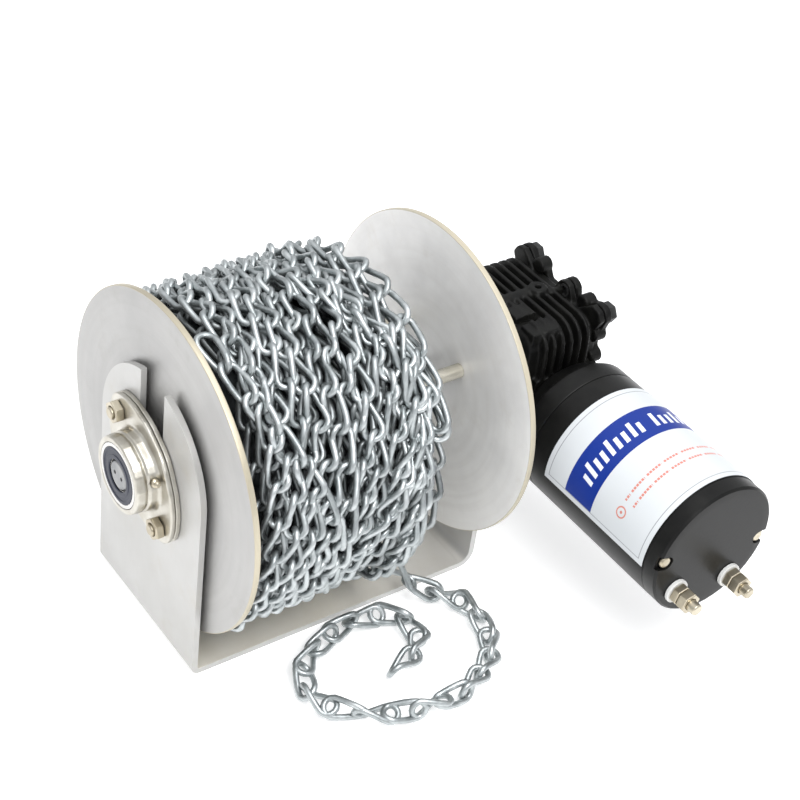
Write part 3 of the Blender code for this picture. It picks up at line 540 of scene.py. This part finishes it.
def link_shape():
    """Vertices and faces of one link along X: a stadium of wire with its two ends turned apart."""
    straight = LINK_HALF - LINK_WIDTH
    ordered = []
    for end in (1, -1):
        for i in range(AROUND + 1):
            angle = end * math.pi / 2 - math.pi * i / AROUND
            ordered.append((end * straight + LINK_WIDTH * math.cos(angle), LINK_WIDTH * math.sin(angle)))
        for t in (0.25, 0.5, 0.75):
            waist = LINK_WIDTH * (1 - LINK_WAIST * math.sin(math.pi * t))
            ordered.append((end * straight * (1 - 2 * t), -end * waist))
    line = []
    for u, v in ordered:
        turn = TWIST / 2 * math.sin(math.pi / 2 * max(-1, min(1, u / LINK_HALF)))
        line.append((u, v * math.cos(turn), v * math.sin(turn)))
    line = np.array(line)
    ahead = np.roll(line, -1, axis=0) - np.roll(line, 1, axis=0)
    ahead /= np.linalg.norm(ahead, axis=1)[:, None]
    out = line * (0.35, 1, 1)
    out -= (out * ahead).sum(1)[:, None] * ahead
    out /= np.linalg.norm(out, axis=1)[:, None]
    side = np.cross(ahead, out)
    rings = []
    for k in range(SIDES):
        angle = 2 * math.pi * k / SIDES
        rings.append(line + WIRE * (math.cos(angle) * out + math.sin(angle) * side))
    points = np.stack(rings, axis=1)
    count = len(line)
    faces = []
    for i in range(count):
        for k in range(SIDES):
            j, m = (i + 1) % count, (k + 1) % SIDES
            faces.append((i * SIDES + k, i * SIDES + m, j * SIDES + m, j * SIDES + k))
    return points.reshape(-1, 3), np.array(faces)


def along_path(path, spacing):
    """Points at equal distances along a dense path, as an array."""
    steps = np.linalg.norm(np.diff(path, axis=0), axis=1)
    travelled = np.concatenate([[0], np.cumsum(steps)])
    at = np.arange(0.0, travelled[-1], spacing)
    return np.stack([np.interp(at, travelled, path[:, k]) for k in range(3)], axis=1)


def add_links(store, path, up, roll, loose, pitch=PITCH, jitter=0.0, rock=0.0):
    """Adds links along a path to a store. up gives the direction away from what the chain lies on.

    loose is how far the links roll about at random, and rock how far every second one rolls back.
    """
    knots = along_path(path, pitch)
    if jitter:
        knots[1:-1, :2] += [[rng.uniform(-jitter, jitter), rng.uniform(-jitter, jitter)] for _ in knots[1:-1]]
    shape, _ = store["shape"]
    turned = roll
    for count, (a, b) in enumerate(zip(knots, knots[1:])):
        ahead = (b - a) / np.linalg.norm(b - a)
        middle = (a + b) / 2
        normal = up(middle)
        normal = normal - ahead * normal.dot(ahead)
        normal /= np.linalg.norm(normal)
        across = np.cross(normal, ahead)
        turned += rng.uniform(-loose, loose) - 0.35 * (turned - roll)
        rolled = turned + (rock if count % 2 else -rock)
        c, s = math.cos(rolled), math.sin(rolled)
        v, w = c * across + s * normal, -s * across + c * normal
        store["points"].append(middle + shape @ np.stack([ahead, v, w]))
    return knots


def chain_mesh(name, store, material):
    """One piece with every link of a store."""
    shape, faces = store["shape"]
    count = len(store["points"])
    points = np.concatenate(store["points"]) * MM
    quads = (faces[None] + (np.arange(count) * len(shape))[:, None, None]).reshape(-1, 4)
    mesh = bpy.data.meshes.new(name)
    mesh.vertices.add(len(points))
    mesh.vertices.foreach_set("co", points.ravel())
    mesh.loops.add(quads.size)
    mesh.loops.foreach_set("vertex_index", quads.ravel())
    mesh.polygons.add(len(quads))
    mesh.polygons.foreach_set("loop_start", np.arange(0, quads.size, 4))
    mesh.update(calc_edges=True)
    mesh.validate()
    mesh.shade_smooth()
    mesh.materials.append(material)
    return linked(name, mesh)


WAVES = 5  # sines in a wobble


def wave(seed, cycles):
    """A smooth repeatable wobble of about -1 to 1 over an angle in turns."""
    source = random.Random(seed)
    parts = []
    for _ in range(WAVES):
        size, rate = source.uniform(0.5, 1.0), source.uniform(0.6, 1.4) * cycles
        parts.append((size, rate, source.uniform(0, 6.28)))

    def value(turns):
        total = sum(size * math.sin(2 * math.pi * rate * turns + phase) for size, rate, phase in parts)
        return total / (0.75 * WAVES**0.5) / 1.4

    return value


def outward(point):
    """The way off the drum's axle at a point."""
    return np.array((0.0, point[1], point[2] - AXIS_Z))


def coil(radius, first, last, turns, seed, wander, swell, start=0.0, sag=0.0, rise=0.0):
    """A wandering helix round the axle, from one X to another.

    It grows by rise towards the right, sags under the drum, and leans off the left disc above it.
    """
    sideways, lift = wave(seed, 1.6), wave(seed + 50, 2.3)
    heap = HEAP_END - HEAP_START
    points = []
    for i in range(int(turns * COIL_STEPS) + 1):
        turn = i / COIL_STEPS
        angle = start + 2 * math.pi * turn
        x = first + (last - first) * turn / turns + wander * sideways(turn)
        x = min(max(x, min(first, last) - 1), max(first, last) + 1)
        x += HEAP_LEAN * max(0.0, 0.35 + 0.65 * math.sin(angle)) * (HEAP_END - x) / heap
        lower = max(0.0, -math.sin(angle) * 0.8 - math.cos(angle) * 0.45)
        r = radius + swell * lift(turn) + rise * (x - HEAP_START) / heap
        hanging = sag * (1 - 2.3 * math.exp(-(((x - HEAP_GAP) / 10) ** 2)))
        r += hanging * lower**1.5 - 0.5 * max(0.0, HEAP_START + 10 - x) * (1 - lower)
        points.append((x, r * math.cos(angle), AXIS_Z + r * math.sin(angle)))
    return np.array(points)


def crossing(radius, first, last, start, end):
    """A strand that lies across the others, from one X and angle to another."""
    points = []
    for i in range(61):
        t = i / 60
        angle = start + (end - start) * t
        r = radius + 3.0 * math.sin(math.pi * t)
        x = first + (last - first) * (3 * t * t - 2 * t**3)
        points.append((x, r * math.cos(angle), AXIS_Z + r * math.sin(angle)))
    return np.array(points)


CROSSINGS = (  # (first X, last X, first angle, last angle) of each strand that lies over the rest, in degrees
    (-88, -30, 100, 215),
    (-60, 5, 165, 275),
    (30, -35, 120, 230),
    (-20, 34, 60, 160),
    (-92, -50, 205, 300),
    (34, 5, 215, 285),
)


CORE_PROFILE = ((-86, 47), (-86, 60), (-76, 80), (24, 80), (26, 70), (26, 47))  # (X, radius)
CORE_SIDES = 72


def make_core(material):
    """A dark turned body inside the heap, so that no daylight shows between its links; its near-black colour
    is painted shade.
    """
    bm = bmesh.new()
    rings = []
    for x, r in CORE_PROFILE:
        rings.append([
            bm.verts.new((x * MM, r * MM * math.cos(a), (AXIS_Z + r * math.sin(a)) * MM))
            for a in (2 * math.pi * k / CORE_SIDES for k in range(CORE_SIDES))
        ])
    for ring, other in zip(rings, rings[1:] + rings[:1]):
        for k in range(CORE_SIDES):
            m = (k + 1) % CORE_SIDES
            bm.faces.new((ring[k], other[k], other[m], ring[m]))
    bmesh.ops.recalc_face_normals(bm, faces=bm.faces)
    mesh = bpy.data.meshes.new("heap_shade_core")
    bm.to_mesh(mesh)
    bm.free()
    mesh.materials.append(material)
    return linked("heap_shade_core", mesh)


def make_wound_chain(materials, core_material):
    shape = link_shape()
    stores = [{"shape": shape, "points": []} for _ in range(4)]
    outer, middle, inner, extra = stores
    path = coil(99.5, HEAP_START, HEAP_END, 10.4, 11, wander=4.4, swell=2.4, start=0.4, sag=8.5, rise=2.5)
    add_links(outer, path, outward, 0.1, 0.36)
    path = coil(94.0, HEAP_END, HEAP_START, 10.8, 23, wander=5.2, swell=2.6, start=2.0, sag=6.0, rise=2.5)
    add_links(middle, path, outward, -0.1, 0.5)
    path = coil(87.0, HEAP_START, HEAP_END - 1, 9.6, 31, wander=4.4, swell=2.2, start=1.0)
    add_links(inner, path, outward, 0.0, 0.45)
    for first, last, start, end in CROSSINGS:
        path = crossing(101.0, first, last, math.radians(start), math.radians(end))
        add_links(extra, path, outward, 0.2, 0.6)
    for i, radius in enumerate(range(54, 88, 10)):  # rings that close the heap's right-hand end
        path = coil(radius, 31.0, 31.0, 0.98, 60 + i, wander=1.5, swell=1.0, start=i * 1.1)
        add_links(extra, path, outward, 0.3, 0.3)
    names = ("wound_links_outer", "wound_links_middle", "wound_links_inner", "wound_links_loose")
    pieces = [chain_mesh(*made) for made in zip(names, stores, materials)]
    for piece in (*pieces, make_core(core_material)):
        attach(piece, "drum")
        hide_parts("wound_chain")


FLOOR_CLEARANCE = 0.4  # under the lowest point of a link of the free end
TAIL_ROUTE = (  # the free end's middle line, from the heap to its last link
    (38.5, -62.5, 29.0),
    (46.0, -66.5, 20.0),
    (54.5, -72.5, 12.0),
    (65.5, -81.0, 7.6),
    (75.5, -93.5, 6.4),
    (78.0, -113.5, 6.4),
    (69.5, -135.0, 6.4),
    (52.5, -151.0, 6.4),
    (31.0, -159.5, 6.4),
    (9.5, -161.5, 6.4),
    (-11.0, -157.0, 6.4),
    (-33.0, -147.0, 6.4),
    (-50.5, -131.5, 6.4),
    (-56.0, -112.0, 6.4),
    (-49.0, -96.0, 6.4),
    (-34.0, -84.5, 6.4),
    (-16.0, -77.0, 6.4),
    (3.0, -74.5, 6.4),
    (20.0, -78.0, 6.4),
    (32.0, -88.0, 6.4),
    (34.0, -101.5, 6.4),
    (27.0, -113.0, 6.4),
    (14.0, -121.0, 6.4),
    (-3.0, -125.0, 6.4),
)


def smooth_path(points, steps):
    """A Catmull-Rom curve through points, as an array."""
    padded = [points[0], *points, points[-1]]
    found = []
    for quad in zip(padded, padded[1:], padded[2:], padded[3:]):
        a, b, c, d = (np.array(point, float) for point in quad)
        for i in range(steps):
            t = i / steps
            found.append(0.5 * (2 * b + (c - a) * t + (2 * a - 5 * b + 4 * c - d) * t**2
                                + (3 * b - a - 3 * c + d) * t**3))
    return np.array([*found, np.array(points[-1], float)])


def make_tail(material):
    store = {"shape": link_shape(), "points": []}
    path = smooth_path(TAIL_ROUTE, 24)
    upright = np.array((0.0, 0.0, 1.0))
    knots = add_links(store, path, lambda point: upright, 0.2, 0.85, SLACK_PITCH, jitter=1.2, rock=0.5)
    for link in store["points"]:
        link[:, 2] += max(0.0, FLOOR_CLEARANCE - link[:, 2].min())
    piece = chain_mesh("chain_tail_links", store, material)
    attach(piece, "frame")
    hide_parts("chain_tail")


# ---------------------------------------------------------------------------------------------------
# Light and floor


FLOOR_HALF = 6.0  # in metres
FLOOR_DROP = 0.0004  # how far the floor lies under the base, in metres
FLOOR_GLOW = 0.5
HORIZON_LIGHT = 0.48  # strength of the sky at the horizon, and from 0.75 up
ZENITH_LIGHT = 1.05
LAMPS = (  # (name, place, where it points, its width, its power in watts), in metres
    ("overhead", (0.1, -0.2, 1.6), (0.03, 0, 0.1), 1.2, 9.6),
    ("left_front", (-1.3, -0.9, 0.9), (0, 0, 0.12), 0.8, 0.8),
    ("over_drum", (-0.06, -0.55, 0.75), (0.09, 0, 0.14), 0.35, 3.0),
)


def make_floor():
    mesh = bpy.data.meshes.new("floor")
    corners = [(x * FLOOR_HALF, y * FLOOR_HALF, 0) for x, y in ((-1, -1), (1, -1), (1, 1), (-1, 1))]
    mesh.from_pydata(corners, [], [(0, 1, 2, 3)])
    floor = linked("floor", mesh)
    floor.location.z = -FLOOR_DROP
    n = Nodes("floor_paint")
    shade = n.mix(n.noise(3.0), (0.80, 0.80, 0.80), (0.84, 0.84, 0.84))
    mesh.materials.append(n.finish(
        Base_Color=shade, Roughness=0.9, Emission_Color=(1.0, 1.0, 1.0), Emission_Strength=FLOOR_GLOW,
    ))


def make_sky():
    """A pale sky that is brighter overhead than at the horizon."""
    world = bpy.data.worlds.new("studio")
    world.use_nodes = True
    tree = world.node_tree
    background = tree.nodes["Background"]
    background.inputs["Color"].default_value = (0.97, 0.98, 1.0, 1.0)
    direction = tree.nodes.new("ShaderNodeTexCoord")
    split = tree.nodes.new("ShaderNodeSeparateXYZ")
    rising = tree.nodes.new("ShaderNodeMapRange")
    levels = {"From Min": 0.0, "From Max": 0.75, "To Min": HORIZON_LIGHT, "To Max": ZENITH_LIGHT}
    for name, value in levels.items():
        rising.inputs[name].default_value = value
    tree.links.new(direction.outputs["Generated"], split.inputs[0])
    tree.links.new(split.outputs["Z"], rising.inputs["Value"])
    tree.links.new(rising.outputs["Result"], background.inputs["Strength"])
    bpy.context.scene.world = world


def make_lamps():
    for name, place, aim, size, power in LAMPS:
        data = bpy.data.lights.new(name, "AREA")
        data.shape = "DISK"
        data.size = size
        data.energy = power
        lamp = linked(name, data)
        lamp.location = place
        lamp.rotation_mode = "QUATERNION"
        lamp.rotation_quaternion = (Vector(aim) - Vector(place)).to_track_quat("-Z", "Y")


# ---------------------------------------------------------------------------------------------------
# Everything


def look(material, *names):
    """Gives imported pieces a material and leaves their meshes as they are."""
    for name in names:
        for slot in frame["nodes"][name].material_slots:
            slot.link = "OBJECT"
            slot.material = material


def make_bearing(steel, plated):
    cast(steel, "bearing_housing", 0.6, 3)
    bevelled(steel, 0.5, "housing_back_plate")
    bevelled(machined("ground_steel", (0.56, 0.55, 0.53), (0.70, 0.69, 0.67), 0.2, 0.32), 0.25,
             "bearing_outer_ring", "bearing_inner_ring")
    bevelled(machined("shaft_steel", (0.22, 0.225, 0.23), (0.36, 0.36, 0.355), 0.3, 0.42), 0.5, "drum_shaft")
    bevelled(plated, 0.35,
             "housing_stud_upper", "housing_stud_lower", "housing_nut_upper", "housing_nut_lower")
    bevelled(plated, 0.2, "grease_nipple")
    seal = plastic("seal_rubber", (0.006, 0.009, 0.022), (0.018, 0.024, 0.050), 0.45)
    profile = [(-130.5, 10.5), (-130.5, 18.4), (-131.4, 18.4), (-131.4, 16.6), (-131.0, 16.3)]
    profile += [(-131.0, 13.6), (-131.4, 13.3), (-131.4, 11.2), (-131.1, 10.5)]
    lathed(seal, "bearing_seal", profile, 0.25, "X", (0, 0, AXIS_Z), 96)
    look(seal, "output_seal")


def make_drum(ground):
    bore = SHAFT_RADIUS + 0.3
    # The discs are one steel: the left one's colour is painted darker and the right one's lighter, as painted
    # shade and light.
    left = turned_disc("turned_disc_left_painted_shade", 0.44, 0.6)
    right = turned_disc("turned_disc_right_painted_light", 0.92, 0.2)
    for disc, name, face in ((left, "drum_disc_left", -102.5), (right, "drum_disc_right", 96.0)):
        back = face + DISC_THICKNESS
        profile = [(face, bore), (face, DISC_RADIUS), (back, DISC_RADIUS), (back, bore)]
        lathed(disc, name, profile, 0.7, "X", (0, 0, AXIS_Z), 256)
    look(ground, "shaft_key")
    bevelled(machined("rod_steel", (0.62, 0.59, 0.50), (0.78, 0.75, 0.67), 0.2, 0.3), 0.2,
             "drum_rod_1", "drum_rod_2", "drum_rod_3")


PADS = (  # (lowest, highest corner) of what is cast on top of the gearbox and beside it
    ((147.6, -20.5, 150.0), (161.6, -8.5, 167.3)),
    ((157.5, -41.0, 150.0), (169.0, -27.0, 166.4)),
    ((147.6, -40.0, 140.0), (157.6, -20.0, 165.6)),
    ((147.6, -9.0, 150.0), (161.6, 0.0, 165.4)),
    ((181.0, -7.0, 158.0), (200.0, -2.5, 167.0)),
)
BAR = ((148.0, 179.0), (1.2, 163.8), 4.9)  # (first and last X, (Y, Z), radius) of the bar beside the pads
NOTCH = ((140.0, -27.0, 162.4), (163.5, -21.0, 175.0))  # between the pads
RIBS = (  # (Y, Z) of the short ribs round the gearbox's rim
    (22, 167), (-26, 167), (22, 66), (-26, 66), (40, 150.5), (40, 132.5), (40, 101.5), (40, 83.5),
    (-40, 150.5), (-40, 132.5), (-40, 101.5), (-40, 83.5),
)
RIB_SPAN = (199.0, 208.6)
RIB_RADIUS = 5.6


def make_gearbox(ground):
    cast_low, cast_high = (0.003, 0.003, 0.003), (0.008, 0.008, 0.007)
    paint = black_paint("cast_paint", cast_low, cast_high, 0.38, 0.55, 0.17, 650.0, 0.35)
    cast(paint, "gearbox_housing", 0.95, 2, PADS, (BAR,), NOTCH)
    cast(paint, "gearbox_cover", 0.85, 2, (), [(RIB_SPAN, place, RIB_RADIUS) for place in RIBS])
    oxide_low, oxide_high = (0.012, 0.012, 0.012), (0.03, 0.03, 0.03)
    oxide = black_paint("black_oxide", oxide_low, oxide_high, 0.35, 0.5, 0.4, 900.0, 0.1)
    bevelled(oxide, 0.4, "cover_bolt_1", "cover_bolt_2", "cover_bolt_3", "cover_bolt_4", "oil_plug")
    bevelled(ground, 0.2, "gearbox_screw_1", "gearbox_screw_2", "gearbox_screw_3", "gearbox_screw_4")


def make_motor(plated):
    low, high = (0.004, 0.004, 0.004), (0.008, 0.008, 0.0075)
    enamel = black_paint("enamel", low, high, 0.28, 0.40, 0.20, 450.0, 0.08)
    centre = (MOTOR_X, 0, MOTOR_Z)
    profile = [(-48.1, 6.6), (-48.1, 37), (-50, 40.5), (-60, 46.5), (-62, 47.8), (-76, 47.8)]
    profile += [(-76, 37.5), (-57, 33), (-53.5, 12), (-53.5, 6.6)]
    lathed(enamel, "motor_front_bell", profile, 1.0, "Y", centre)
    profile = [(-76.3, 44.8), (-76.3, 47.8), (-190.8, 47.8), (-190.8, 44.8)]
    lathed(enamel, "motor_can", profile, 0.5, "Y", centre)
    bevelled(enamel, 0.5, "motor_end_cap")
    bevelled(label_film(), 0.05, "motor_label")
    bevelled(plated, 0.3, "through_bolt_1", "through_bolt_2", "terminal_stud_left", "terminal_stud_right",
             "terminal_nut_inner_left", "terminal_nut_inner_right", "terminal_nut_outer_left",
             "terminal_nut_outer_right")
    bevelled(plastic("white_nylon", (0.66, 0.66, 0.64), (0.78, 0.78, 0.76), 0.45), 0.3,
             "terminal_insulator_left", "terminal_insulator_right")


def make_inside(ground):
    """The pieces that show only when others are taken off."""
    look(ground, "ball_cage", "worm_bearing_front", "worm_bearing_rear", "worm_shaft")
    look(machined("bronze", (0.50, 0.33, 0.14), (0.66, 0.46, 0.22), 0.3, 0.45),
         "output_bush_left", "output_bush_right", "worm_wheel")
    look(machined("copper", (0.62, 0.32, 0.20), (0.75, 0.42, 0.28), 0.3, 0.45), "commutator")
    look(machined("rotor_iron", (0.20, 0.16, 0.13), (0.34, 0.27, 0.21), 0.4, 0.6), "armature")
    look(plastic("ferrite", (0.03, 0.03, 0.032), (0.07, 0.07, 0.072), 0.7), "magnet_upper", "magnet_lower")
    look(plastic("fibre_board", (0.22, 0.12, 0.06), (0.36, 0.20, 0.10), 0.7), "brush_plate")
    look(plastic("carbon", (0.02, 0.02, 0.02), (0.05, 0.05, 0.05), 0.6), "brush_upper", "brush_lower")


def main():
    make_camera()
    # Painted light and shade: the outer links get a lighter copy of the zinc, and the heap's deeper layers
    # darker ones.
    chain = zinc_chain("zinc_chain", 1.05)
    layers = (chain, zinc_chain("zinc_chain_middle_painted_shade", 0.72), zinc_chain("zinc_chain_inner_painted_shade", 0.5), chain)
    make_tail(chain)
    make_wound_chain(layers, dark_core())
    bevelled(rolled_plate(), 0.6, "bracket")
    ground = machined("ground_steel", (0.48, 0.47, 0.44), (0.62, 0.61, 0.58), 0.24, 0.36)
    casting = machined("satin_steel", (0.46, 0.435, 0.375), (0.62, 0.60, 0.545), 0.26, 0.40)
    plated = machined("plated_fasteners", (0.40, 0.35, 0.26), (0.58, 0.53, 0.42), 0.24, 0.38)
    make_bearing(casting, plated)
    make_drum(ground)
    make_gearbox(ground)
    make_motor(plated)
    make_inside(ground)
    make_floor()
    make_sky()
    make_lamps()
    bpy.context.scene.view_settings.view_transform = "Standard"


main()
